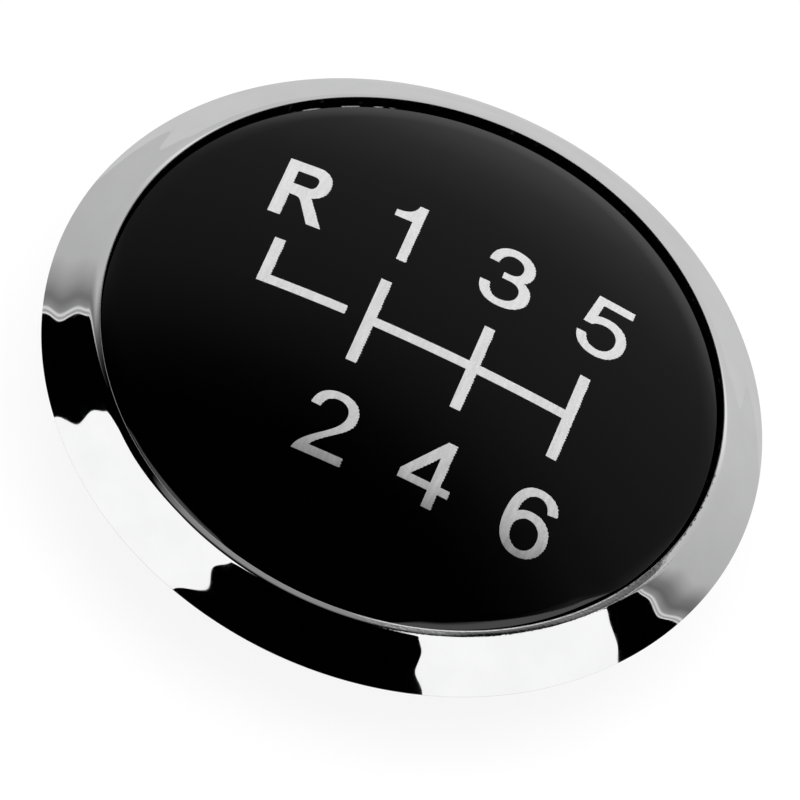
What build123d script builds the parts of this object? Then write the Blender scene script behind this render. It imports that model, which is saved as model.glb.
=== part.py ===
# Gear shift knob cap: a plated bezel that snaps into the top of a knob, with a domed face disc bonded in it.
# The origin is the centre of the seat that rests on the knob. +Z points out of the face, +Y to the front.

import os
from math import cos, radians, sin, sqrt

from build123d import *

# Face disc: thin sheet pressed to a shallow dome
face_diameter = 32.3
face_thickness = 0.6
face_crown = 1.11
face_edge_height = 1.45
face_edge_break = 0.25
face_clearance = 0.15

# Adhesive film under the disc
film_thickness = 0.15
film_setback = 0.5

# Bezel rim, from the recess outwards and down to the seat
lip_width = 0.5
lip_break = 0.1
lip_round = 0.12
shoulder_run = 1.5
shoulder_drop = 1.2
skirt_run = 0.7
skirt_drop = 0.58
skirt_sagitta = 0.02
edge_land = 0.05

# Bezel floor, its ribs and the spigot that locates in the knob
floor_thickness = 1.2
rib_thickness = 0.8
rib_depth = 0.5
spigot_overlap = 0.9
spigot_wall = 1.3
spigot_depth = 1.6
notch_width = 3.0
notch_height = 0.6
notch_margin = 0.5

# Snap legs
leg_count = 4
leg_first_angle = 45.0
leg_setback = 2.4
leg_width = 5.0
leg_thickness = 1.3
tip_thickness = 0.7
catch_depth = 3.0
barb_depth = 0.8
barb_slope = 0.5
barb_land = 0.4
lead_in = 2.6

# Radii worked out from the disc outwards
face_radius = face_diameter / 2
film_radius = face_radius - film_setback
recess_radius = face_radius + face_clearance
lip_radius = recess_radius + lip_width
shoulder_radius = lip_radius + shoulder_run
outer_radius = shoulder_radius + skirt_run
spigot_radius = recess_radius + spigot_overlap
spigot_inner_radius = spigot_radius - spigot_wall
floor_radius = recess_radius + spigot_overlap / 2

# Heights worked out from the seat upwards
shoulder_height = edge_land + skirt_drop
lip_height = shoulder_height + shoulder_drop

# Concentric spheres: top of the disc, of the film and of the floor, and the middle and underside of the floor
face_dome = (face_radius**2 + face_crown**2) / (2 * face_crown)
dome_centre = face_edge_height + face_crown - face_dome
film_dome = face_dome - face_thickness
floor_dome = film_dome - film_thickness
mid_floor_dome = floor_dome - floor_thickness / 2
underside_dome = floor_dome - floor_thickness

# Snap legs: radii, and depths below the seat
leg_outer_radius = spigot_inner_radius - leg_setback
leg_inner_radius = leg_outer_radius - leg_thickness
tip_inner_radius = leg_outer_radius - tip_thickness
barb_radius = leg_outer_radius + barb_depth
barb_top_depth = catch_depth + barb_slope
barb_bottom_depth = barb_top_depth + barb_land
tip_depth = barb_bottom_depth + lead_in


def on_dome(dome, radius):
    """Point of a section, at a radius from the axis, on one of the concentric spheres."""
    return (radius, dome_centre + sqrt(dome**2 - radius**2))


def domed_plate(top_dome, bottom_dome, plate_radius):
    """Round plate of even thickness in the current part, between two of the concentric spheres."""
    plate_bottom = on_dome(bottom_dome, plate_radius)[1]
    plate_top = on_dome(top_dome, 0)[1]
    with Locations((0, 0, plate_bottom)):
        Cylinder(plate_radius, plate_top - plate_bottom, align=(Align.CENTER, Align.CENTER, Align.MIN))
    with Locations((0, 0, dome_centre)):
        Sphere(top_dome, rotation=(0, 90, 0), mode=Mode.INTERSECT)
        Sphere(bottom_dome, rotation=(0, 90, 0), mode=Mode.SUBTRACT)


def radial_plane(angle):
    """Plane through the axis, with its x along the radius and its y along +Z."""
    turn = radians(angle)
    return Plane((0, 0, 0), x_dir=(cos(turn), sin(turn), 0), z_dir=(sin(turn), -cos(turn), 0))


os.makedirs("parts", exist_ok=True)

# Face disc, with its upper edge broken
with BuildPart() as face_disc:
    domed_plate(face_dome, film_dome, face_radius)
    face_edge = face_disc.edges().filter_by(GeomType.CIRCLE).sort_by(Axis.Z)[-1]
    chamfer(face_edge, length=face_edge_break)
face_disc.part.label = "face_disc"
export_step(face_disc.part, "parts/face_disc.step")

# Adhesive film
with BuildPart() as adhesive_film:
    domed_plate(film_dome, floor_dome, film_radius)
adhesive_film.part.label = "adhesive_film"
export_step(adhesive_film.part, "parts/adhesive_film.step")

# Bezel
with BuildPart() as bezel:
    domed_plate(floor_dome, underside_dome, floor_radius)

    # Rim and spigot around the floor: recess wall, lip, shoulder, skirt, seat and spigot
    with BuildSketch(Plane.XZ) as rim_section:
        with BuildLine():
            Polyline(
                on_dome(mid_floor_dome, recess_radius),
                (recess_radius, lip_height),
                (lip_radius, lip_height),
                (shoulder_radius, shoulder_height),
            )
            SagittaArc((shoulder_radius, shoulder_height), (outer_radius, edge_land), skirt_sagitta)
            Polyline(
                (outer_radius, edge_land),
                (outer_radius, 0),
                (spigot_radius, 0),
                (spigot_radius, -spigot_depth),
                (spigot_inner_radius, -spigot_depth),
                on_dome(mid_floor_dome, spigot_inner_radius),
                on_dome(mid_floor_dome, recess_radius),
            )
        make_face()
        lip_inner_corner = rim_section.vertices().sort_by_distance((recess_radius, lip_height))[0]
        chamfer(lip_inner_corner, length=lip_break)
        lip_outer_corner = rim_section.vertices().sort_by_distance((lip_radius, lip_height))[0]
        fillet(lip_outer_corner, radius=lip_round)
    revolve(axis=Axis.Z)

    # Locating notch in the spigot, at the front
    with BuildSketch(Plane.XY.offset(-spigot_depth)):
        with Locations((0, spigot_radius - spigot_wall / 2)):
            Rectangle(notch_width, spigot_wall + 2 * notch_margin)
    extrude(amount=notch_height, mode=Mode.SUBTRACT)

    # Snap legs, each with a rib from the middle of the floor to its root
    for leg_number in range(leg_count):
        leg_plane = radial_plane(leg_first_angle + leg_number * 360 / leg_count)
        with BuildSketch(leg_plane):
            with BuildLine():
                ThreePointArc(
                    on_dome(mid_floor_dome, 0),
                    on_dome(mid_floor_dome, leg_outer_radius / 2),
                    on_dome(mid_floor_dome, leg_outer_radius),
                )
                Polyline(
                    on_dome(mid_floor_dome, leg_outer_radius),
                    (leg_outer_radius, -rib_depth),
                    (0, -rib_depth),
                    on_dome(mid_floor_dome, 0),
                )
            make_face()
        extrude(amount=rib_thickness / 2, both=True)
        with BuildSketch(leg_plane):
            with BuildLine():
                Polyline(
                    on_dome(mid_floor_dome, leg_outer_radius),
                    (leg_outer_radius, -catch_depth),
                    (barb_radius, -barb_top_depth),
                    (barb_radius, -barb_bottom_depth),
                    (leg_outer_radius, -tip_depth),
                    (tip_inner_radius, -tip_depth),
                    on_dome(mid_floor_dome, leg_inner_radius),
                    close=True,
                )
            make_face()
        extrude(amount=leg_width / 2, both=True)
bezel.part.label = "bezel"
export_step(bezel.part, "parts/bezel.step")
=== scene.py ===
# Looks of a gear shift knob cap: chrome bezel, lacquered face disc and printed shift pattern.
import math

import bmesh
import bpy
import numpy as np
from mathutils import Matrix, Vector
from mathutils.geometry import delaunay_2d_cdt


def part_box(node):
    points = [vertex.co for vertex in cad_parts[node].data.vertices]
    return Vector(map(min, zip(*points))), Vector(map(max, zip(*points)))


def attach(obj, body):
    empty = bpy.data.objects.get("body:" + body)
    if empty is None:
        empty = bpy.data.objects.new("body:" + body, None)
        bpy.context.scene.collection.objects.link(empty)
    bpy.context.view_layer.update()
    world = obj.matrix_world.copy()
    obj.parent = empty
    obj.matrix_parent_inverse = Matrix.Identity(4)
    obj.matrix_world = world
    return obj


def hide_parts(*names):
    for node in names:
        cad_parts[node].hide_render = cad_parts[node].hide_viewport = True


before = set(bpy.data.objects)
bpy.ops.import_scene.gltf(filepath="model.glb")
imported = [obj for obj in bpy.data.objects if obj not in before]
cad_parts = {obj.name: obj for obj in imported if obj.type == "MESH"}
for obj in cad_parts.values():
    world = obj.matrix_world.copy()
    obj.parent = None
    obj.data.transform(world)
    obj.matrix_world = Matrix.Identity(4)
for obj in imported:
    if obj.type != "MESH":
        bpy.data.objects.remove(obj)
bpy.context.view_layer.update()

# Sizes are in millimetres, in the frame of the solids, and become metres where a mesh or a place is made
MM = 0.001

# Sizes read from the solids
bezel_low, bezel_high = (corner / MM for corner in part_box("bezel"))
_, disc_high = (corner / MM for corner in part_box("face_disc"))
outer_radius = bezel_high.x
tip_depth = -bezel_low.z
face_radius = disc_high.x
face_top = disc_high.z

# Face disc: a shallow dome that falls away a little towards a crisp edge
face_thickness = 0.6
face_crown = 1.11
roll_width = 1.0
roll_slope = 4.0
crisp_round = 0.04
crisp_slope = 90.0

# Stretches where its edge is softer: ends and blend in degrees round the axis, and rounding
soft_edges = ((288.0, 326.0, 10.0, 1.6), (226.0, 254.0, 8.0, 1.1))
soft_slope = 36.0

# How far the disc lies from the middle of its recess
disc_shift = Vector((-0.07, -0.11, 0.04))

# Sphere of the disc's top
face_sphere = (face_radius**2 + face_crown**2) / (2 * face_crown)
sphere_centre = face_top - face_sphere

# Bezel rim
recess_radius = 16.3
lip_top = 1.77
lip_break = 0.05
edge_land = 0.05
edge_round = 0.03

# Slope of the rim below the horizontal, in degrees, by radius: shoulder, hollow and steeper skirt
rim_slopes = ((17.4, 34.6), (18.15, 32.8), (outer_radius, 37.7))

# The same for the lip above it: sloped round most of the rim, level or rolled over on the near side
sloped_lip = ((16.36, 19.0), (16.88, 33.0))
level_lip = ((16.36, -9.0), (16.58, -9.0), (16.82, 32.5))
rolled_lip = ((16.36, -9.0), (16.38, -9.0), (16.87, 32.5))

# Stretches of the other lips: ends and blend in degrees round the axis
other_lips = ((236.0, 337.0, 20.0, level_lip), (297.0, 314.0, 8.0, rolled_lip))

# Bezel floor, spigot, ribs and snap legs
film_thickness = 0.15
floor_thickness = 1.2
spigot_radius = 17.2
spigot_wall = 1.3
spigot_depth = 1.6
spigot_break = 0.15
notch_width = 3.0
notch_height = 0.6
rib_thickness = 0.8
rib_depth = 0.5
leg_count = 4
leg_first_angle = 45.0
leg_setback = 2.4
leg_width = 5.0
leg_thickness = 1.3
tip_thickness = 0.7
catch_depth = 3.0
barb_depth = 0.8
barb_slope = 0.5
barb_land = 0.4
moulded_round = 0.12

# Worked out from these: radii of walls, and depths of the floor under the disc's top
spigot_inner = spigot_radius - spigot_wall
leg_outer = spigot_inner - leg_setback
floor_depth = face_thickness + film_thickness
mid_floor_depth = floor_depth + floor_thickness / 2
underside_depth = floor_depth + floor_thickness

# Steps of the meshes: round the axis, and along the sections of the disc and the bezel
disc_segments = 256
rim_segments = 384
dome_steps = 50
disc_edge_steps = 16
disc_underside_steps = 24
floor_steps = 16
rim_steps = 130
lip_break_steps = 6
edge_round_steps = 4
bevel_segments = 2

# Angles, in degrees, past which an edge is a sharp crease
crease_angle = 35.0
bezel_crease_angle = 30.0

# Printed pattern: how it lies on the disc and how closely it is meshed
print_height = 0.02
print_sink = 0.03
print_step = 0.028
print_grid = 0.3
merge_distance = 1e-6

# Fine teeth of its screen-printed right-hand edges, with lengths drawn at random as shares of the depth
tooth_pitch = 0.18
tooth_depth = 0.075
tooth_count = 97
tooth_seed = 7
shortest_tooth = 0.2

# Small distortion of the print, from pressing it onto the dome: slant, flare across and bow of level lines
print_slant = -0.012
print_flare = 0.0024
print_bow = 0.0019
print_bow_middle = -0.7

# Camera, measured from the photograph: angles in degrees, and the focal length in pixels of the image
camera_elevation = 52.952
camera_azimuth = 0.639
camera_roll = 24.09
camera_distance = 162.87
camera_target = Vector((0.203, -2.057, 0.0))
camera_focal_pixels = 3205.3
image_pixels = 800
sensor_width = 36.0
near_clip = 10.0
far_clip = 10000.0


# Meshes

def face_outward(mesh):
    """Turns the faces of a closed mesh so that their normals point outwards."""
    shell = bmesh.new()
    shell.from_mesh(mesh)
    bmesh.ops.recalc_face_normals(shell, faces=shell.faces)
    shell.to_mesh(mesh)
    shell.free()


def new_solid(name, vertices, faces):
    """Object with a closed mesh of millimetre vertices, linked to the scene."""
    mesh = bpy.data.meshes.new(name)
    mesh.from_pydata([tuple(Vector(v) * MM) for v in vertices], [], faces)
    face_outward(mesh)
    solid = bpy.data.objects.new(name, mesh)
    bpy.context.scene.collection.objects.link(solid)
    return solid


def finish_piece(piece, material, sharp_angle=crease_angle):
    """Outward normals, smooth shading with sharp creases, a material and a body for a piece."""
    face_outward(piece.data)
    piece.data.shade_smooth()
    piece.data.set_sharp_from_angle(angle=math.radians(sharp_angle))
    piece.data.materials.clear()
    piece.data.materials.append(material)
    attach(piece, "root")
    return piece


def lathe(profile, segments):
    """Vertices and faces of a solid of revolution about Z.

    Its profile is a row of (radius, height) points that starts and ends on the axis.
    """
    vertices = [(0.0, 0.0, profile[0][1])]
    for radius, height in profile[1:-1]:
        for step in range(segments):
            turn = 2 * math.pi * step / segments
            vertices.append((radius * math.cos(turn), radius * math.sin(turn), height))
    vertices.append((0.0, 0.0, profile[-1][1]))
    last = len(vertices) - 1
    rings = len(profile) - 2
    faces = []
    for step in range(segments):
        after = (step + 1) % segments
        faces.append((0, 1 + step, 1 + after))
        for ring in range(rings - 1):
            upper = 1 + ring * segments
            lower = upper + segments
            faces.append((upper + step, lower + step, lower + after, upper + after))
        end = 1 + (rings - 1) * segments
        faces.append((end + step, last, end + after))
    return vertices, faces


def arc(centre, radius, start, stop, steps):
    """Points on an arc of a profile, between two angles in degrees from the outward direction."""
    turns = [math.radians(angle) for angle in spread(start, stop, steps)]
    return [(centre[0] + radius * math.cos(turn), centre[1] + radius * math.sin(turn)) for turn in turns]


def spread(start, stop, steps):
    """Evenly spaced values from start to stop, both included."""
    return [start + (stop - start) * step / steps for step in range(steps + 1)]


def smooth(share):
    """Share from 0 to 1, eased at both ends."""
    return share * share * (3 - 2 * share)


def stretch_share(point, start, stop, blend):
    """How far a point lies within a stretch of angles round the axis, from 0 to 1, eased over the blend."""
    angle = math.degrees(math.atan2(point[1], point[0])) % 360.0
    share = min(angle - start, stop - angle) / blend + 0.5
    return smooth(min(max(share, 0.0), 1.0))


def blended(vertices, stretches):
    """Vertices drawn towards those of other solids on stretches round the axis.

    Each stretch has its ends and blend in degrees, and the other solid's vertices.
    """
    drawn = [Vector(vertex) for vertex in vertices]
    for start, stop, blend, targets in stretches:
        for number, target in enumerate(targets):
            share = stretch_share(target, start, stop, blend)
            drawn[number] = drawn[number].lerp(Vector(target), share)
    return drawn


# Face disc

def dome_height(radius, depth=0.0):
    """Height of the disc's upper surface, or of a sphere that lies deeper under it."""
    return sphere_centre + math.sqrt((face_sphere - depth) ** 2 - radius**2)


def roll_drop(radius):
    """How far the disc's top falls away from its dome where it rolls over towards its edge."""
    reach = max(radius - (face_radius - roll_width), 0.0)
    return math.tan(math.radians(roll_slope)) * reach**2 / (2 * roll_width)


def disc_profile(rounding, steepest):
    """Section of the disc from the middle of its top, over its edge, to the middle of its underside.

    Its edge is rounded as far as a steepest slope in degrees.
    """
    stop = 90.0 - steepest
    centre_radius = face_radius - rounding * math.cos(math.radians(stop))
    centre = (centre_radius, dome_height(centre_radius, rounding))
    start = math.degrees(math.acos(centre_radius / (face_sphere - rounding)))
    edge = arc(centre, rounding, start, stop, disc_edge_steps)
    edge_start = edge[0][0]
    roll_start = min(face_radius - roll_width, edge_start - rounding)
    radii = spread(0.0, roll_start, dome_steps)[:-1] + spread(roll_start, edge_start, disc_edge_steps)[:-1]
    top = [(radius, dome_height(radius)) for radius in radii]
    under_radii = spread(face_radius, 0.0, disc_underside_steps)
    underside = [(radius, dome_height(radius, face_thickness)) for radius in under_radii]
    return [(radius, height - roll_drop(radius)) for radius, height in top + edge] + underside


def make_disc(material):
    """Disc with its crisp edge blended into the soft ones, to one side in its recess."""
    crisp, faces = lathe(disc_profile(crisp_round, crisp_slope), disc_segments)
    stretches = []
    for start, stop, blend, rounding in soft_edges:
        soft, _ = lathe(disc_profile(rounding, soft_slope), disc_segments)
        stretches.append((start, stop, blend, soft))
    vertices = [vertex + disc_shift for vertex in blended(crisp, stretches)]
    disc = finish_piece(new_solid("lacquered_disc", vertices, faces), material)
    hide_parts("face_disc")


# Bezel

def eased(values, knots):
    """Values read off a smooth curve that is level at each of its (place, value) knots."""
    places, levels = (np.array(column) for column in zip(*knots))
    values = np.clip(values, places[0], places[-1])
    left = np.clip(np.searchsorted(places, values) - 1, 0, len(places) - 2)
    share = (values - places[left]) / (places[left + 1] - places[left])
    return levels[left] + (levels[left + 1] - levels[left]) * smooth(share)


def rim_section(lip_slopes):
    """Rim from the lip's inner edge down to the outer edge, by adding up its slopes."""
    radii = np.linspace(recess_radius + lip_break, outer_radius, rim_steps + 1)
    steepness = np.tan(np.radians(eased(radii, lip_slopes + rim_slopes)))
    drops = np.concatenate([[0.0], np.cumsum((steepness[1:] + steepness[:-1]) / 2 * np.diff(radii))])
    drops *= (lip_top - edge_land) / drops[-1]
    return [(radius, lip_top - drop) for radius, drop in zip(radii, drops)]


def bezel_profile(lip_slopes):
    """Section of the bezel: floor, recess wall, lip, rim, seat, spigot and underside."""
    top = [(radius, dome_height(radius, floor_depth)) for radius in spread(0.0, recess_radius, floor_steps)]
    rim = rim_section(lip_slopes)
    lip_centre = (recess_radius + lip_break, rim[0][1] - lip_break)
    lip_inner = arc(lip_centre, lip_break, 180.0, 90.0, lip_break_steps)
    edge = arc((outer_radius - edge_round, edge_round), edge_round, 0.0, -90.0, edge_round_steps)
    spigot = [
        (spigot_radius, 0.0),
        (spigot_radius, -spigot_depth + spigot_break),
        (spigot_radius - spigot_break, -spigot_depth),
        (spigot_inner + spigot_break, -spigot_depth),
        (spigot_inner, -spigot_depth + spigot_break),
    ]
    under_radii = spread(spigot_inner, 0.0, floor_steps)
    underside = [(radius, dome_height(radius, underside_depth)) for radius in under_radii]
    return top + lip_inner[:-1] + rim + edge + spigot + underside


def cut_notch(vertices):
    """Locating notch at the front of the spigot: its lower edge is raised there."""
    top = -spigot_depth + 2 * spigot_break
    inner = spigot_radius - 2 * spigot_wall
    cut = []
    for x, y, z in vertices:
        at_front = abs(x) < notch_width / 2 and y > 0
        in_notch = at_front and z < top and math.hypot(x, y) > inner
        cut.append((x, y, z + notch_height if in_notch else z))
    return cut


def bezel_shell():
    """Turned body of the bezel, with the other lips blended in round its rim and the notch in its spigot."""
    sloped, faces = lathe(bezel_profile(sloped_lip), rim_segments)
    stretches = []
    for start, stop, blend, slopes in other_lips:
        other, _ = lathe(bezel_profile(slopes), rim_segments)
        stretches.append((start, stop, blend, other))
    return cut_notch(blended(sloped, stretches)), faces


def leg_outline():
    """Section of a tapered snap leg with its barb, rooted in the middle of the floor."""
    leg_inner = leg_outer - leg_thickness
    barb_outer = leg_outer + barb_depth
    barb_top = -catch_depth - barb_slope
    return (
        (leg_outer, dome_height(leg_outer, mid_floor_depth)),
        (leg_outer, -catch_depth),
        (barb_outer, barb_top),
        (barb_outer, barb_top - barb_land),
        (leg_outer, -tip_depth),
        (leg_outer - tip_thickness, -tip_depth),
        (leg_inner, dome_height(leg_inner, mid_floor_depth)),
    )


def rib_outline():
    """Section of a rib that runs under the floor from one leg to the opposite one."""
    root = dome_height(leg_outer, mid_floor_depth)
    return ((-leg_outer, root), (-leg_outer, -rib_depth), (leg_outer, -rib_depth), (leg_outer, root))


def prism(outline, width, angle):
    """Solid of even width from an outline of (radius, height), standing in the radial plane at an angle."""
    turn = math.radians(angle)
    along = Vector((math.cos(turn), math.sin(turn), 0.0))
    across = Vector((-math.sin(turn), math.cos(turn), 0.0))
    count = len(outline)
    vertices = []
    for side in (-width / 2, width / 2):
        for radius, height in outline:
            vertices.append(along * radius + across * side + Vector((0.0, 0.0, height)))
    faces = [tuple(range(count)), tuple(range(2 * count - 1, count - 1, -1))]
    for step in range(count):
        after = (step + 1) % count
        faces.append((step, step + count, after + count, after))
    return vertices, faces


def apply_modifiers(solid):
    """Gives a solid the mesh that its modifiers make, and removes them."""
    graph = bpy.context.evaluated_depsgraph_get()
    mesh = bpy.data.meshes.new_from_object(solid.evaluated_get(graph))
    solid.modifiers.clear()
    solid.data = mesh


def round_edges(solid):
    """Rounds the sharp edges of a moulded solid."""
    bevel = solid.modifiers.new("moulded_round", "BEVEL")
    bevel.width = moulded_round * MM
    bevel.segments = bevel_segments
    bevel.limit_method = "ANGLE"
    apply_modifiers(solid)


def join_solid(base, other):
    """Union of a solid with another one, which is used up."""
    union = base.modifiers.new("union", "BOOLEAN")
    union.operation = "UNION"
    union.solver = "MANIFOLD"
    union.object = other
    apply_modifiers(base)
    bpy.data.objects.remove(other)


def make_bezel(material):
    """Bezel with its snap legs and ribs joined to the turned body."""
    bezel = new_solid("plated_bezel", *bezel_shell())
    legs = ("leg", leg_outline(), leg_width, leg_count)
    ribs = ("rib", rib_outline(), rib_thickness, leg_count // 2)
    for name, outline, width, count in (legs, ribs):
        for number in range(count):
            angle = leg_first_angle + number * 360.0 / leg_count
            limb = new_solid(name, *prism(outline, width, angle))
            round_edges(limb)
            join_solid(bezel, limb)
    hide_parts("bezel")
    finish_piece(bezel, material, bezel_crease_angle)


# Printed pattern: outlines of a start point, then a point for a straight run or three for a curve

letter_r = (
    (
        (0.0, 0.0),
        (0.0, 4.05),
        (1.62, 4.07),
        ((2.2, 4.07), (2.58, 3.64), (2.58, 2.98)),
        ((2.58, 2.4), (2.3, 1.98), (1.85, 1.82)),
        (2.95, 0.0),
        (2.17, 0.0),
        (1.38, 1.4),
        ((1.26, 1.6), (1.15, 1.64), (0.95, 1.64)),
        (0.67, 1.64),
        (0.67, 0.0),
    ),
    (
        (0.62, 2.42),
        (1.52, 2.42),
        ((1.78, 2.42), (1.9, 2.66), (1.9, 2.98)),
        ((1.9, 3.24), (1.8, 3.37), (1.55, 3.37)),
        (0.62, 3.37),
    ),
)
figure_1 = (
    (
        (1.06, 0.0),
        (1.6, 0.0),
        (1.6, 4.12),
        (1.12, 4.12),
        ((1.04, 3.6), (0.7, 3.32), (0.0, 3.3)),
        (0.0, 2.84),
        (1.06, 2.84),
    ),
)
figure_2 = (
    (
        (0.02, 2.9),
        (0.54, 2.86),
        ((0.56, 3.32), (0.86, 3.62), (1.3, 3.62)),
        ((1.74, 3.62), (2.06, 3.32), (2.06, 2.88)),
        ((2.06, 2.2), (1.4, 1.74), (0.82, 1.2)),
        ((0.38, 0.8), (0.06, 0.42), (0.02, 0.0)),
        (2.68, 0.0),
        (2.68, 0.53),
        (0.76, 0.53),
        ((0.95, 0.86), (1.2, 1.1), (1.6, 1.44)),
        ((2.2, 1.94), (2.6, 2.3), (2.6, 2.9)),
        ((2.6, 3.58), (2.06, 4.06), (1.3, 4.06)),
        ((0.52, 4.06), (0.06, 3.6), (0.02, 2.9)),
    ),
)
figure_3 = (
    (
        (0.0, 1.28),
        (0.55, 1.3),
        ((0.58, 0.8), (0.86, 0.46), (1.3, 0.46)),
        ((1.82, 0.46), (2.19, 0.8), (2.19, 1.28)),
        ((2.19, 1.72), (1.9, 1.93), (1.5, 1.93)),
        (1.05, 1.93),
        (1.05, 2.36),
        (1.35, 2.36),
        ((1.74, 2.36), (1.98, 2.58), (1.98, 2.98)),
        ((1.98, 3.38), (1.68, 3.65), (1.27, 3.65)),
        ((0.86, 3.65), (0.6, 3.3), (0.56, 2.85)),
        (0.05, 2.85),
        ((0.05, 3.62), (0.55, 4.16), (1.29, 4.16)),
        ((2.06, 4.16), (2.6, 3.66), (2.6, 2.98)),
        ((2.6, 2.66), (2.46, 2.34), (2.2, 2.2)),
        ((2.58, 2.06), (2.82, 1.72), (2.82, 1.24)),
        ((2.82, 0.5), (2.2, 0.0), (1.35, 0.0)),
        ((0.55, 0.0), (0.04, 0.46), (0.0, 1.28)),
    ),
)
figure_4 = (
    (
        (1.7, 0.0),
        (2.23, 0.0),
        (2.23, 0.97),
        (2.78, 0.97),
        (2.78, 1.43),
        (2.23, 1.43),
        (2.23, 4.03),
        (1.76, 4.03),
        (0.0, 1.5),
        (0.0, 0.97),
        (1.7, 0.97),
    ),
    (
        (1.7, 1.43),
        (1.7, 3.02),
        (0.55, 1.43),
    ),
)
figure_5 = (
    (
        (0.46, 4.02),
        (2.56, 4.02),
        (2.56, 3.5),
        (0.86, 3.5),
        (0.74, 2.6),
        ((0.92, 2.69), (1.15, 2.74), (1.42, 2.74)),
        ((2.2, 2.74), (2.75, 2.2), (2.75, 1.42)),
        ((2.75, 0.6), (2.14, 0.0), (1.38, 0.0)),
        ((0.62, 0.0), (0.07, 0.42), (0.0, 1.17)),
        (0.53, 1.19),
        ((0.6, 0.72), (0.92, 0.47), (1.37, 0.47)),
        ((1.86, 0.47), (2.19, 0.86), (2.19, 1.4)),
        ((2.19, 1.9), (1.86, 2.22), (1.38, 2.22)),
        ((1.02, 2.22), (0.82, 2.12), (0.62, 1.92)),
        (0.15, 1.92),
    ),
)
figure_6 = (
    (
        (2.62, 3.12),
        (2.1, 3.02),
        ((2.0, 3.46), (1.76, 3.7), (1.42, 3.7)),
        ((0.86, 3.7), (0.6, 3.1), (0.55, 2.36)),
        ((0.76, 2.58), (1.06, 2.72), (1.42, 2.72)),
        ((2.14, 2.72), (2.65, 2.14), (2.65, 1.4)),
        ((2.65, 0.58), (2.1, 0.0), (1.38, 0.0)),
        ((0.5, 0.0), (0.0, 0.72), (0.0, 1.9)),
        ((0.0, 3.4), (0.52, 4.16), (1.42, 4.16)),
        ((2.1, 4.16), (2.56, 3.72), (2.62, 3.12)),
    ),
    (
        (1.33, 2.24),
        ((0.92, 2.24), (0.6, 1.86), (0.6, 1.36)),
        ((0.6, 0.84), (0.94, 0.42), (1.36, 0.42)),
        ((1.82, 0.42), (2.12, 0.8), (2.12, 1.36)),
        ((2.12, 1.9), (1.76, 2.24), (1.33, 2.24)),
    ),
)

# Lower left corner, width and height of each figure of the print
figures = (
    ("letter_R", letter_r, (-9.95, 4.10), (2.85, 4.02)),
    ("figure_1", figure_1, (-3.93, 4.24), (1.49, 4.05)),
    ("figure_2", figure_2, (-3.87, -9.08), (2.61, 4.05)),
    ("figure_3", figure_3, (1.36, 4.22), (2.75, 4.05)),
    ("figure_4", figure_4, (1.57, -9.07), (2.76, 4.05)),
    ("figure_5", figure_5, (6.91, 4.19), (2.67, 3.93)),
    ("figure_6", figure_6, (7.23, -9.12), (2.61, 4.13)),
)

# Gate lines of the shift pattern
gate_level = -0.172
gate_bottom = -3.015
gate_top = 2.625
gate_half_width = 0.284
line_half_width = 0.283
gate_places = (-2.905, 2.86, 8.305)
reverse_place = -8.705
reverse_top = 2.565
reverse_end = -4.19


def gate_outline():
    """Three upright gates joined by a level line, as one outline."""
    below = []
    above = []
    for number, place in enumerate(gate_places):
        left = place - gate_half_width
        right = place + gate_half_width
        joins_left = number > 0
        joins_right = number < len(gate_places) - 1
        for row, side, end in ((below, -1, gate_bottom), (above, 1, gate_top)):
            line = gate_level + side * line_half_width
            row.extend([(left, line)] * joins_left)
            row.extend([(left, end), (right, end)])
            row.extend([(right, line)] * joins_right)
    return tuple(below + above[::-1])


def reverse_outline():
    """Angled reverse gate that stops short of the first upright one."""
    left = reverse_place - gate_half_width
    right = reverse_place + gate_half_width
    low = gate_level - line_half_width
    high = gate_level + line_half_width
    bottom = ((left, low), (reverse_end, low), (reverse_end, high))
    return bottom + ((right, high), (right, reverse_top), (left, reverse_top))


def cubic(start, handles, share):
    """Point at a share of the way along a cubic curve, from its start, two handles and its end."""
    first, second, end = handles
    rest = 1 - share
    return rest**3 * start + 3 * rest**2 * share * first + 3 * rest * share**2 * second + share**3 * end


def trace(outline):
    """Closely spaced points round a closed outline of straight runs and cubic curves."""
    points = []
    here = np.array(outline[0], float)
    for part in (*outline[1:], outline[0]):
        is_curve = isinstance(part[0], tuple)
        handles = np.array(part if is_curve else (part,), float)
        reach = sum(np.linalg.norm(b - a) for a, b in zip([here, *handles], handles))
        if reach < merge_distance:
            continue
        count = max(2, math.ceil(reach / print_step))
        for share in np.arange(count) / count:
            if is_curve:
                points.append(cubic(here, handles, share))
            else:
                points.append((1 - share) * here + share * handles[0])
        here = handles[-1]
    return np.array(points)


def signed_area(points):
    """Area inside a closed loop, below zero where it runs clockwise."""
    after = np.roll(points, -1, axis=0)
    return float((points[:, 0] * after[:, 1] - points[:, 1] * after[:, 0]).sum() / 2)


def toothed(points, hole, tooth_lengths):
    """Outline with the comb of fine teeth that screen printing leaves on edges that face right."""
    tangent = np.roll(points, -1, axis=0) - np.roll(points, 1, axis=0)
    outward = np.stack([tangent[:, 1], -tangent[:, 0]], axis=1)
    outward /= np.linalg.norm(outward, axis=1)[:, None]
    if (signed_area(points) < 0) != hole:
        outward = -outward
    row = points[:, 1] / tooth_pitch
    lengths = tooth_lengths[np.floor(row).astype(int) % len(tooth_lengths)]
    tooth = np.abs((row % 1.0) * 2 - 1) * lengths
    facing_right = np.clip(outward[:, 0], 0.0, 1.0)
    toothed_points = points.copy()
    toothed_points[:, 0] += tooth_depth * tooth * np.sqrt(facing_right)
    return toothed_points


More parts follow.
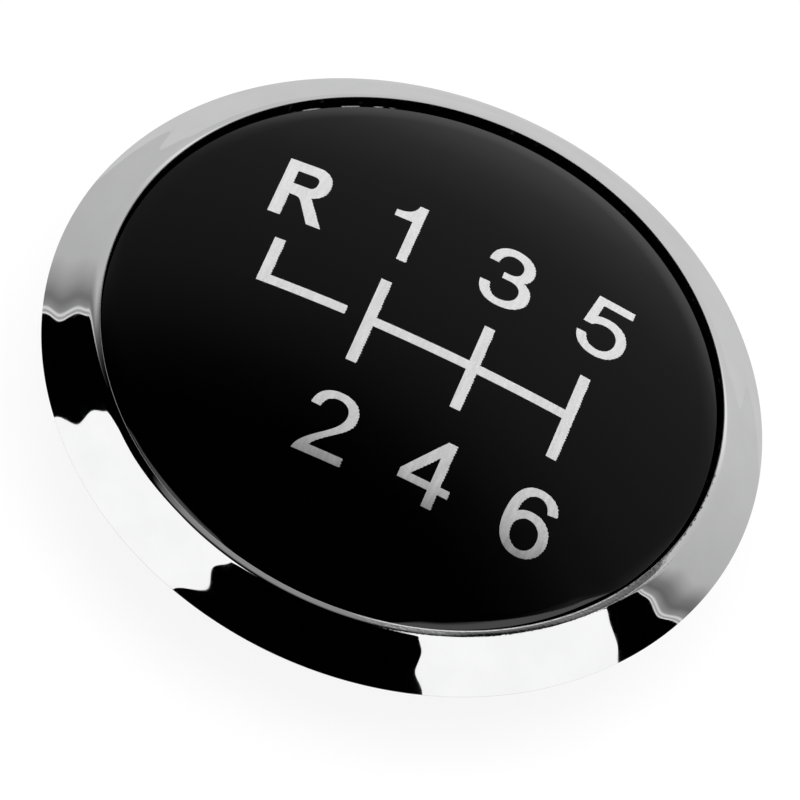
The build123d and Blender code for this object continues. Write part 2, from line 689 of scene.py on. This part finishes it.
def inside(points, loops):
    """Which points lie inside closed loops, holes taken out."""
    result = np.zeros(len(points), bool)
    for loop in loops:
        ahead = np.roll(loop, -1, axis=0)
        for a, b in zip(loop, ahead):
            crosses = (a[1] > points[:, 1]) != (b[1] > points[:, 1])
            if crosses.any():
                level = (points[:, 1] - a[1]) / (b[1] - a[1])
                result ^= crosses & (points[:, 0] < a[0] + level * (b[0] - a[0]))
    return result


def placed(loops, corner, size):
    """Loops of a figure moved and stretched so that their box has a lower left corner and a size."""
    border = np.concatenate(loops)
    low, high = border.min(axis=0), border.max(axis=0)
    return [np.array(corner) + (loop - low) * (np.array(size) / (high - low)) for loop in loops]


def pressed(loop):
    """A loop of the print with the distortion that it has on the dome."""
    x, y = loop.T
    slanted = x + y * (print_slant + print_flare * x)
    bowed = y - print_bow * (x - print_bow_middle) ** 2
    return np.stack([slanted, bowed], axis=1)


def triangulated(loops):
    """Points and triangles that fill closed loops, with a grid of points inside and holes left out."""
    border = np.concatenate(loops)
    edges = []
    for loop in loops:
        first = len(edges)
        count = len(loop)
        edges.extend((first + step, first + (step + 1) % count) for step in range(count))
    low, high = border.min(axis=0), border.max(axis=0)
    columns = np.arange(low[0], high[0], print_grid)
    rows = np.arange(low[1], high[1], print_grid)
    grid = np.stack(np.meshgrid(columns, rows), axis=-1).reshape(-1, 2)
    grid = grid[inside(grid, loops)]
    flat = [Vector(p) for p in np.concatenate([border, grid])]
    points, _, triangles, *_ = delaunay_2d_cdt(flat, edges, [], 0, merge_distance)
    points = np.array([tuple(p) for p in points])
    centres = np.array([points[list(t)].mean(axis=0) for t in triangles])
    return points, [tuple(t) for t, kept in zip(triangles, inside(centres, loops)) if kept]


def open_sides(triangles):
    """Edges that belong to one triangle only, in its own direction."""
    sides = {}
    for triangle in triangles:
        for a, b in zip(triangle, triangle[1:] + triangle[:1]):
            if (b, a) in sides:
                del sides[(b, a)]
            else:
                sides[(a, b)] = True
    return list(sides)


def print_on_disc(name, loops, material, tooth_lengths):
    """Thin raised print inside closed loops, the first its border and the rest holes, on the disc's dome."""
    loops = [pressed(toothed(loop, number > 0, tooth_lengths)) for number, loop in enumerate(loops)]
    points, triangles = triangulated(loops)
    count = len(points)
    heights = [dome_height(math.hypot(x, y)) + disc_shift.z for x, y in points]
    vertices = [(x, y, z + print_height) for (x, y), z in zip(points, heights)]
    vertices += [(x, y, z - print_sink) for (x, y), z in zip(points, heights)]
    faces = triangles + [tuple(v + count for v in reversed(t)) for t in triangles]
    faces += [(b, a, a + count, b + count) for a, b in open_sides(triangles)]
    finish_piece(new_solid(name, vertices, faces), material)


# Materials

def grey(level):
    """Colour with three equal channels."""
    return (level, level, level)


def opaque(colour):
    """Colour with a full fourth channel, as sockets take it."""
    return (*colour, 1.0)


def new_material(name):
    """Material with its node tree and its Principled shader."""
    material = bpy.data.materials.new(name)
    material.use_nodes = True
    tree = material.node_tree
    return material, tree, tree.nodes["Principled BSDF"]


def node(tree, kind, **settings):
    """New node of a kind, with its properties set."""
    made = tree.nodes.new(kind)
    for key, value in settings.items():
        setattr(made, key, value)
    return made


def feed(tree, socket, value):
    """Links a socket to another one, or sets it to a number or a colour."""
    if isinstance(value, bpy.types.NodeSocket):
        tree.links.new(value, socket)
    else:
        socket.default_value = opaque(value) if isinstance(value, tuple) else value


def noise(tree, scale, detail, stretch=(1.0, 1.0, 1.0)):
    """Value of a noise over the object's own coordinates; scale is in waves per metre."""
    place = node(tree, "ShaderNodeTexCoord")
    mapping = node(tree, "ShaderNodeMapping")
    mapping.inputs["Scale"].default_value = stretch
    texture = node(tree, "ShaderNodeTexNoise")
    texture.inputs["Scale"].default_value = scale
    texture.inputs["Detail"].default_value = detail
    tree.links.new(place.outputs["Object"], mapping.inputs["Vector"])
    tree.links.new(mapping.outputs["Vector"], texture.inputs["Vector"])
    return texture.outputs["Fac"]


def ramp(tree, value, bounds, results):
    """Value mapped from between two bounds to between two results, and held past its ends."""
    mapped = node(tree, "ShaderNodeMapRange")
    tree.links.new(value, mapped.inputs["Value"])
    for key, number in zip(("From Min", "From Max", "To Min", "To Max"), (*bounds, *results)):
        mapped.inputs[key].default_value = number
    return mapped.outputs["Result"]


def blend_colours(tree, share, first, second):
    """Colour between two by a share, each a socket or a colour."""
    mix = node(tree, "ShaderNodeMix", data_type="RGBA")
    feed(tree, mix.inputs["Factor"], share)
    feed(tree, mix.inputs["A"], first)
    feed(tree, mix.inputs["B"], second)
    return mix.outputs["Result"]


def bump(tree, shader, height, strength, distance):
    """Fine relief on a shader's normal, on top of any that it has; distance is in millimetres."""
    relief = node(tree, "ShaderNodeBump")
    relief.inputs["Strength"].default_value = strength
    relief.inputs["Distance"].default_value = distance * MM
    tree.links.new(height, relief.inputs["Height"])
    for link in shader.inputs["Normal"].links:
        tree.links.new(link.from_socket, relief.inputs["Normal"])
    tree.links.new(relief.outputs["Normal"], shader.inputs["Normal"])


def math_node(tree, operation, first, second):
    """Result of an operation on two values, each a socket or a number."""
    made = node(tree, "ShaderNodeMath", operation=operation)
    for socket, value in zip(made.inputs, (first, second)):
        feed(tree, socket, value)
    return made.outputs["Value"]


def product(tree, first, *others):
    """Product of values, each a socket or a number."""
    for other in others:
        first = math_node(tree, "MULTIPLY", first, other)
    return first


def object_axis(tree, axis):
    """One coordinate of the surface in the object's own frame, in metres."""
    place = node(tree, "ShaderNodeTexCoord")
    split = node(tree, "ShaderNodeSeparateXYZ")
    tree.links.new(place.outputs["Object"], split.inputs["Vector"])
    return split.outputs[axis]


def distance_from_axis(tree, shift=(0.0, 0.0)):
    """Distance of the surface from the part's axis, or from one shifted by millimetres, in metres."""
    x = math_node(tree, "SUBTRACT", object_axis(tree, "X"), shift[0] * MM)
    y = math_node(tree, "SUBTRACT", object_axis(tree, "Y"), shift[1] * MM)
    squares = math_node(tree, "ADD", product(tree, x, x), product(tree, y, y))
    return math_node(tree, "SQRT", squares, 0.0)


def band(tree, value, bounds, blur):
    """1 where a value lies between two bounds in millimetres, fading to 0 over a blur past each."""
    low, high = bounds
    rising = ramp(tree, value, ((low - blur) * MM, low * MM), (0.0, 1.0))
    falling = ramp(tree, value, (high * MM, (high + blur) * MM), (1.0, 0.0))
    return product(tree, rising, falling)


def stops(tree, value, pairs, most):
    """Strength along a value from 0 to 1, given as (place, strength) pairs, with the most that it reaches."""
    made = node(tree, "ShaderNodeValToRGB")
    curve = made.color_ramp
    while len(curve.elements) < len(pairs):
        curve.elements.new(0.5)
    for element, (place, strength) in zip(curve.elements, pairs):
        element.position = place
        element.color = opaque(grey(strength / most))
    tree.links.new(value, made.inputs["Fac"])
    return product(tree, made.outputs["Color"], most)


# Where the bezel's recess is painted black as painted shade, where black flecks lie along the lip's inner
# edge, and where the lip is pitted: radius, height, x, y
shaded_recess_radii = (15.2, recess_radius + 0.02)
shaded_recess_heights = (0.3, 9.0)
fleck_radii = (recess_radius - 0.02, recess_radius + 0.1)
fleck_x = (13.4, 20.0)
fleck_y = (-8.6, 0.5)
pitted_radii = (16.4, 16.7)
pitted_heights = (1.0, 9.0)
pitted_x = (5.0, 20.0)
pitted_y = (-20.0, -5.0)

# Roughness added below a height, from which it fades to none at the seat, and roughness added on the painted
# shade and the flecks
moulded_height = -0.4
moulded_dullness = 0.2
shade_and_fleck_dullness = 0.6

# Colours that the clouds in the plating, and the specks in the painted shade of the recess and in the flecks,
# lie between
plating_colours = ((0.543, 0.544, 0.545), (0.565, 0.566, 0.567))
shade_and_fleck_colours = (grey(0.0003), grey(0.02))


def shade_and_fleck_share(tree):
    """Where the bezel is painted black: painted shade all over the recess, and flecks along part of the lip's
    edge.
    """
    radius = distance_from_axis(tree)
    x, y, z = (object_axis(tree, axis) for axis in "XYZ")
    wall = band(tree, radius, shaded_recess_radii, blur=0.02)
    # Painted shade: the recess, its wall and the floor under the disc, is made black
    recess = product(tree, wall, band(tree, z, shaded_recess_heights, blur=0.1))
    edge = band(tree, radius, fleck_radii, blur=0.04)
    stretch = product(tree, band(tree, x, fleck_x, blur=0.5), band(tree, y, fleck_y, blur=1.0))
    flecks = ramp(tree, noise(tree, scale=4600.0, detail=2.0), (0.5, 0.58), (0.0, 0.9))
    return math_node(tree, "MAXIMUM", recess, product(tree, flecks, edge, stretch))


def lip_pits(tree):
    """Height of the pits in the plating along part of the lip."""
    x, y, z = (object_axis(tree, axis) for axis in "XYZ")
    ring = band(tree, distance_from_axis(tree), pitted_radii, blur=0.05)
    lip = product(tree, ring, band(tree, z, pitted_heights, blur=0.1))
    stretch = product(tree, band(tree, x, pitted_x, blur=3.0), band(tree, y, pitted_y, blur=3.0))
    return product(tree, noise(tree, scale=6500.0, detail=3.0), product(tree, lip, stretch))


def chrome_material():
    """Polished chrome with faint clouds, black painted shade in its recess, black flecks on its lip, pits and
    a duller underside.
    """
    material, tree, shader = new_material("chrome_plating")
    shade_and_flecks = shade_and_fleck_share(tree)
    clouds = ramp(tree, noise(tree, scale=420.0, detail=4.0), (0.35, 0.65), (0.0, 1.0))
    specks = ramp(tree, noise(tree, scale=2200.0, detail=2.0), (0.62, 0.74), (0.0, 1.0))
    plating = blend_colours(tree, clouds, *plating_colours)
    shade_and_fleck_colour = blend_colours(tree, specks, *shade_and_fleck_colours)
    polish = ramp(tree, noise(tree, scale=1500.0, detail=5.0), (0.3, 0.7), (0.012, 0.035))
    underside = ramp(tree, object_axis(tree, "Z"), (moulded_height * MM, 0.0), (moulded_dullness, 0.0))
    dull = math_node(tree, "MAXIMUM", underside, product(tree, shade_and_flecks, shade_and_fleck_dullness))
    # Where the painted shade or the flecks lie, the bezel is black, not metallic and barely reflective
    feed(tree, shader.inputs["Base Color"], blend_colours(tree, shade_and_flecks, plating, shade_and_fleck_colour))
    feed(tree, shader.inputs["Metallic"], ramp(tree, shade_and_flecks, (0.0, 1.0), (1.0, 0.0)))
    feed(tree, shader.inputs["Specular IOR Level"], ramp(tree, shade_and_flecks, (0.0, 1.0), (0.5, 0.03)))
    feed(tree, shader.inputs["Specular Tint"], grey(0.8))
    feed(tree, shader.inputs["Roughness"], math_node(tree, "ADD", polish, dull))
    bump(tree, shader, noise(tree, scale=2600.0, detail=2.0), strength=0.02, distance=0.004)
    bump(tree, shader, lip_pits(tree), strength=1.0, distance=0.012)
    return material


# Where the disc's lacquer is chipped, which also paints the glints along its far edge: radius, x and y
nick_and_glint_radii = (face_radius - 0.21, face_radius - 0.145)
nick_and_glint_x = (-10.6, -7.3)
nick_and_glint_y = (11.0, 20.0)

# Colours that the lacquer lies between, and of its chips, which also paint glints
lacquer_colours = (grey(0.0001), grey(0.0003))
nick_and_glint_colour = grey(0.36)


def nick_and_glint_share(tree):
    """Where the lacquer is chipped to bare metal in small light chips along part of the disc's far edge,
    which also paint the glints there.
    """
    x, y = (object_axis(tree, axis) for axis in "XY")
    edge = band(tree, distance_from_axis(tree, disc_shift), nick_and_glint_radii, blur=0.01)
    stretch = product(tree, band(tree, x, nick_and_glint_x, blur=0.8), band(tree, y, nick_and_glint_y, blur=1.0))
    nick_and_glint_dashes = ramp(tree, noise(tree, scale=1100.0, detail=3.0), (0.44, 0.5), (0.0, 1.0))
    return product(tree, edge, stretch, nick_and_glint_dashes)


def lacquer_material():
    """Black gloss lacquer with light chips in its edge, which also paint glints."""
    material, tree, shader = new_material("black_lacquer")
    nicks_and_glints = nick_and_glint_share(tree)
    tone = blend_colours(tree, noise(tree, scale=260.0, detail=3.0), *lacquer_colours)
    gloss = ramp(tree, noise(tree, scale=700.0, detail=4.0), (0.3, 0.7), (0.05, 0.09))
    # Light grey at the chips, which are partly worn lacquer and partly painted glints along the far edge
    feed(tree, shader.inputs["Base Color"], blend_colours(tree, nicks_and_glints, tone, nick_and_glint_colour))
    feed(tree, shader.inputs["Metallic"], product(tree, nicks_and_glints, 0.3))
    feed(tree, shader.inputs["Specular IOR Level"], 0.449)
    feed(tree, shader.inputs["Roughness"], math_node(tree, "ADD", gloss, product(tree, nicks_and_glints, 0.25)))
    bump(tree, shader, noise(tree, scale=1800.0, detail=2.0), strength=0.03, distance=0.003)
    return material


# Bare metal: its grey, and painted shade by place between two ends along y, darker towards the near end,
# which its streaks shift a little
bare_metal_grey = 0.84
print_shade_stops = ((0.06, 0.31), (0.11, 0.5), (0.16, 0.67), (0.25, 0.8), (0.37, 0.9), (0.52, 0.94), (0.8, 0.97))
print_shade_ends = (-10.0, 10.0)
print_shade_shift = 0.6


def bare_metal_material():
    """Satin bare metal of the shift pattern: fine grain and short streaks, with painted shade that darkens it
    towards its near end.
    """
    material, tree, shader = new_material("bare_metal")
    flakes = noise(tree, scale=9000.0, detail=3.0)
    streaks = noise(tree, scale=5200.0, detail=2.0, stretch=(1.0, 0.12, 1.0))
    grain = product(tree, math_node(tree, "ADD", flakes, streaks), 0.5)
    tone = ramp(tree, grain, (0.35, 0.65), (0.84, 1.0))
    along = math_node(tree, "ADD", object_axis(tree, "Y"), product(tree, streaks, print_shade_shift * MM))
    place = ramp(tree, along, [end * MM for end in print_shade_ends], (0.0, 1.0))
    # Painted shade: the print's colour is darkened towards its near end
    shade = product(tree, tone, stops(tree, place, print_shade_stops, 1.0))
    feed(tree, shader.inputs["Base Color"], blend_colours(tree, shade, grey(0.0), grey(bare_metal_grey)))
    feed(tree, shader.inputs["Metallic"], 0.4)
    feed(tree, shader.inputs["Roughness"], ramp(tree, grain, (0.3, 0.7), (0.34, 0.44)))
    bump(tree, shader, flakes, strength=0.12, distance=0.004)
    return material


# Colours that the adhesive lies between
adhesive_colours = (grey(0.1), (0.16, 0.16, 0.155))


def adhesive_material():
    """Grey double-sided adhesive film with a slightly uneven, tacky surface."""
    material, tree, shader = new_material("adhesive")
    tone = noise(tree, scale=600.0, detail=4.0)
    feed(tree, shader.inputs["Base Color"], blend_colours(tree, tone, *adhesive_colours))
    feed(tree, shader.inputs["Roughness"], ramp(tree, tone, (0.3, 0.7), (0.55, 0.75)))
    bump(tree, shader, noise(tree, scale=2400.0, detail=3.0), strength=0.3, distance=0.01)
    return material


# The part

def make_print(material):
    """All figures and lines of the shift pattern."""
    tooth_lengths = np.random.RandomState(tooth_seed).uniform(shortest_tooth, 1.0, tooth_count)
    for name, outlines, corner, size in figures:
        loops = placed([trace(outline) for outline in outlines], corner, size)
        print_on_disc(name, loops, material, tooth_lengths)
    print_on_disc("gate_lines", [trace(gate_outline())], material, tooth_lengths)
    print_on_disc("reverse_gate", [trace(reverse_outline())], material, tooth_lengths)


def dress_film(material):
    """Gives the frame's own adhesive film a material."""
    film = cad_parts["adhesive_film"]
    film.data.materials.clear()
    film.data.materials.append(material)


make_bezel(chrome_material())
make_disc(lacquer_material())
make_print(bare_metal_material())
dress_film(adhesive_material())


# Stage, in metres and degrees: a pale floor, two softboxes beside the camera and a sweep behind, in the dark
stage_distance = 1.0
floor_radius = 3.0
floor_segments = 96
floor_grey = 0.92
floor_roughness = 0.9
floor_whiteness = 0.85
top_light_size = 0.8
top_light_energy = 6.5
top_light_height = 0.9
studio_grey = 0.0003

# Softboxes: azimuths of their side edges from the front, their top and where they begin to fade towards it
left_softbox = (-84.9, -48.8)
right_softbox = (38.4, 76.7)
softbox_top = 72.0
softbox_fade = 64.0
softbox_strength = 1.65
softbox_steps = 48

# Slant of their second side edges, in degrees per degree of elevation, and the elevation where it ends
softbox_slant = 0.455
slant_top = 50.0

# Sweep: azimuths of its side edges, its foot, its top and how far its top leans
sweep_azimuths = (102.2, 253.0)
sweep_foot = -1.0
sweep_top = 66.0
sweep_lean = 9.5
sweep_steps = 96
sweep_most = 1.5

# Strength of its paper by degrees in from a side edge: the seam there, then the paper on the right and left
seam = ((0.0, 1.5), (0.4, 1.5), (0.6, 0.4), (0.85, 0.4), (1.05, 1.2), (1.2, 1.2), (1.45, 0.5))
right_paper = ((2.2, 0.42), (4.0, 0.22), (6.5, 0.33), (11.0, 0.76), (34.0, 0.93))
left_paper = ((2.2, 0.4), (3.8, 0.27), (7.0, 0.5), (12.0, 0.77), (29.0, 0.84))
middle_paper = (170.0, 1.0)

# Strength by elevation, at its sides and in its middle, and the share of the sides by azimuth
side_fade = ((-1.0, 1.0), (43.0, 1.0), (47.0, 0.8), (50.0, 0.5), (54.0, 0.2), (58.0, 0.05), (62.0, 0.0))
middle_fade = (
    (-1.0, 1.0), (19.0, 1.0), (23.0, 1.45), (27.0, 1.4), (30.0, 1.25), (33.0, 0.95), (36.0, 0.5),
    (40.0, 0.31), (43.0, 0.27), (47.0, 0.235), (52.0, 0.19), (54.5, 0.145), (57.5, 0.09), (60.0, 0.04),
    (64.0, 0.0),
)
side_share = ((134.0, 1.0), (144.0, 0.0), (214.0, 0.0), (224.0, 1.0))


def glow_material(name):
    """Material that only gives off light, with its node tree and its emission."""
    material, tree, shader = new_material(name)
    tree.nodes.remove(shader)
    glow = node(tree, "ShaderNodeEmission")
    tree.links.new(glow.outputs["Emission"], tree.nodes["Material Output"].inputs["Surface"])
    return material, tree, glow


def stage_point(azimuth, elevation):
    """Place on a sphere round the object, by azimuth from the front and elevation."""
    azimuth, elevation = math.radians(azimuth), math.radians(elevation)
    level = Vector((math.sin(azimuth), -math.cos(azimuth), 0.0)) * math.cos(elevation)
    return (level + Vector((0.0, 0.0, math.sin(elevation)))) * stage_distance


def panel(name, azimuths, elevations, material, steps, lean=0.0, slant=0.0):
    """Part of a sphere round the object, between azimuths and elevations, that the camera doesn't see.

    Its top edge can lean, and its second side edge can slant.
    """
    shares = [(column / steps, row / steps) for row in range(steps + 1) for column in range(steps + 1)]
    vertices = []
    for across, upward in shares:
        top = elevations[1] + lean * (1 - 2 * across)
        elevation = elevations[0] + (top - elevations[0]) * upward
        side = azimuths[1] + slant * min(elevation, slant_top)
        vertices.append(stage_point(azimuths[0] + (side - azimuths[0]) * across, elevation))
    width = steps + 1
    faces = []
    for row in range(steps):
        for column in range(steps):
            corner = row * width + column
            faces.append((corner, corner + width, corner + width + 1, corner + 1))
    mesh = bpy.data.meshes.new(name)
    mesh.from_pydata(vertices, [], faces)
    layer = mesh.uv_layers.new(name="share")
    for loop in mesh.loops:
        layer.data[loop.index].uv = shares[loop.vertex_index]
    mesh.shade_smooth()
    mesh.materials.append(material)
    made = bpy.data.objects.new(name, mesh)
    made.visible_camera = False
    bpy.context.scene.collection.objects.link(made)


def panel_shares(tree):
    """How far across and how far up its panel a point lies, each from 0 to 1."""
    place = node(tree, "ShaderNodeUVMap", uv_map="share")
    split = node(tree, "ShaderNodeSeparateXYZ")
    tree.links.new(place.outputs["UV"], split.inputs["Vector"])
    return split.outputs["X"], split.outputs["Y"]


def make_softbox(name, azimuths):
    """Even softbox that fades out at its top."""
    material, tree, glow = glow_material(name)
    _, upward = panel_shares(tree)
    fade = ((softbox_fade / softbox_top, softbox_strength), (1.0, 0.0))
    tree.links.new(stops(tree, upward, fade, softbox_strength), glow.inputs["Strength"])
    panel(name, azimuths, (0.0, softbox_top), material, softbox_steps, slant=softbox_slant)


def make_sweep():
    """Bright paper behind the object, with seams at its sides, that fades out overhead."""
    material, tree, glow = glow_material("back_sweep")
    across, upward = panel_shares(tree)
    right, left = sweep_azimuths

    def strength_along(share, ends, pairs):
        """Strength read off (degrees, strength) pairs by a share of the way between two ends."""
        places = [((degrees - ends[0]) / (ends[1] - ends[0]), strength) for degrees, strength in pairs]
        return stops(tree, share, places, sweep_most)

    from_right = [(right + degrees, strength) for degrees, strength in seam + right_paper]
    from_left = [(left - degrees, strength) for degrees, strength in seam + left_paper]
    paper = strength_along(across, sweep_azimuths, [*from_right, middle_paper, *reversed(from_left)])
    rise = node(tree, "ShaderNodeMix", data_type="FLOAT")
    feed(tree, rise.inputs["Factor"], strength_along(across, sweep_azimuths, side_share))
    feed(tree, rise.inputs["A"], strength_along(upward, (sweep_foot, sweep_top), middle_fade))
    feed(tree, rise.inputs["B"], strength_along(upward, (sweep_foot, sweep_top), side_fade))
    feed(tree, glow.inputs["Strength"], product(tree, paper, rise.outputs["Result"]))
    panel("back_sweep", sweep_azimuths, (sweep_foot, sweep_top), material, sweep_steps, lean=sweep_lean)


def floor_material():
    """Mostly plain white to the camera and to reflections, with the object's soft shadow kept."""
    material, tree, shader = new_material("floor")
    feed(tree, shader.inputs["Base Color"], grey(floor_grey))
    feed(tree, shader.inputs["Roughness"], floor_roughness)
    feed(tree, shader.inputs["Specular IOR Level"], 0.0)
    white = node(tree, "ShaderNodeEmission")
    path = node(tree, "ShaderNodeLightPath")
    seen = math_node(tree, "MAXIMUM", path.outputs["Is Camera Ray"], path.outputs["Is Glossy Ray"])
    seen = math_node(tree, "MAXIMUM", seen, path.outputs["Is Transmission Ray"])
    mix = node(tree, "ShaderNodeMixShader")
    tree.links.new(product(tree, seen, floor_whiteness), mix.inputs["Fac"])
    tree.links.new(shader.outputs["BSDF"], mix.inputs[1])
    tree.links.new(white.outputs["Emission"], mix.inputs[2])
    tree.links.new(mix.outputs["Shader"], tree.nodes["Material Output"].inputs["Surface"])
    return material


def make_floor():
    """Round floor under the tips of the snap legs."""
    mesh = bpy.data.meshes.new("floor")
    shell = bmesh.new()
    bmesh.ops.create_circle(shell, cap_ends=True, segments=floor_segments, radius=floor_radius)
    shell.to_mesh(mesh)
    shell.free()
    mesh.materials.append(floor_material())
    floor = bpy.data.objects.new("floor", mesh)
    floor.location.z = -tip_depth * MM
    bpy.context.scene.collection.objects.link(floor)


def make_top_light():
    """Broad overhead light for the floor, kept out of reflections."""
    lamp = bpy.data.lights.new("top_light", "AREA")
    lamp.shape = "DISK"
    lamp.size = top_light_size
    lamp.energy = top_light_energy
    top = bpy.data.objects.new("top_light", lamp)
    top.location.z = top_light_height
    top.visible_glossy = False
    bpy.context.scene.collection.objects.link(top)


def make_world():
    """White to the camera, nearly dark to everything else."""
    world = bpy.data.worlds.new("studio")
    world.use_nodes = True
    tree = world.node_tree
    dim = tree.nodes["Background"]
    feed(tree, dim.inputs["Color"], grey(studio_grey))
    white = node(tree, "ShaderNodeBackground")
    feed(tree, white.inputs["Color"], grey(1.0))
    path = node(tree, "ShaderNodeLightPath")
    mix = node(tree, "ShaderNodeMixShader")
    tree.links.new(path.outputs["Is Camera Ray"], mix.inputs["Fac"])
    tree.links.new(dim.outputs["Background"], mix.inputs[1])
    tree.links.new(white.outputs["Background"], mix.inputs[2])
    tree.links.new(mix.outputs["Shader"], tree.nodes["World Output"].inputs["Surface"])
    bpy.context.scene.world = world


def make_camera():
    """Camera at the photograph's angle, turned about its own axis as the photograph is."""
    elevation, azimuth, roll = (math.radians(a) for a in (camera_elevation, camera_azimuth, camera_roll))
    reach = math.cos(elevation)
    back = Vector((math.sin(azimuth) * reach, -math.cos(azimuth) * reach, math.sin(elevation)))
    level = Vector((math.cos(azimuth), math.sin(azimuth), 0.0))
    rise = back.cross(level)
    right = level * math.cos(roll) + rise * math.sin(roll)
    up = rise * math.cos(roll) - level * math.sin(roll)
    lens = bpy.data.cameras.new("camera")
    lens.sensor_width = sensor_width
    lens.lens = camera_focal_pixels * sensor_width / image_pixels
    lens.clip_start = near_clip * MM
    lens.clip_end = far_clip * MM
    camera = bpy.data.objects.new("camera", lens)
    turn = Matrix((right, up, back)).transposed().to_4x4()
    camera.matrix_world = Matrix.Translation((camera_target + back * camera_distance) * MM) @ turn
    bpy.context.scene.collection.objects.link(camera)
    bpy.context.scene.camera = camera


make_floor()
make_softbox("left_softbox", left_softbox)
make_softbox("right_softbox", right_softbox)
make_sweep()
make_top_light()
make_world()
make_camera()
bpy.context.scene.view_settings.view_transform = "Standard"
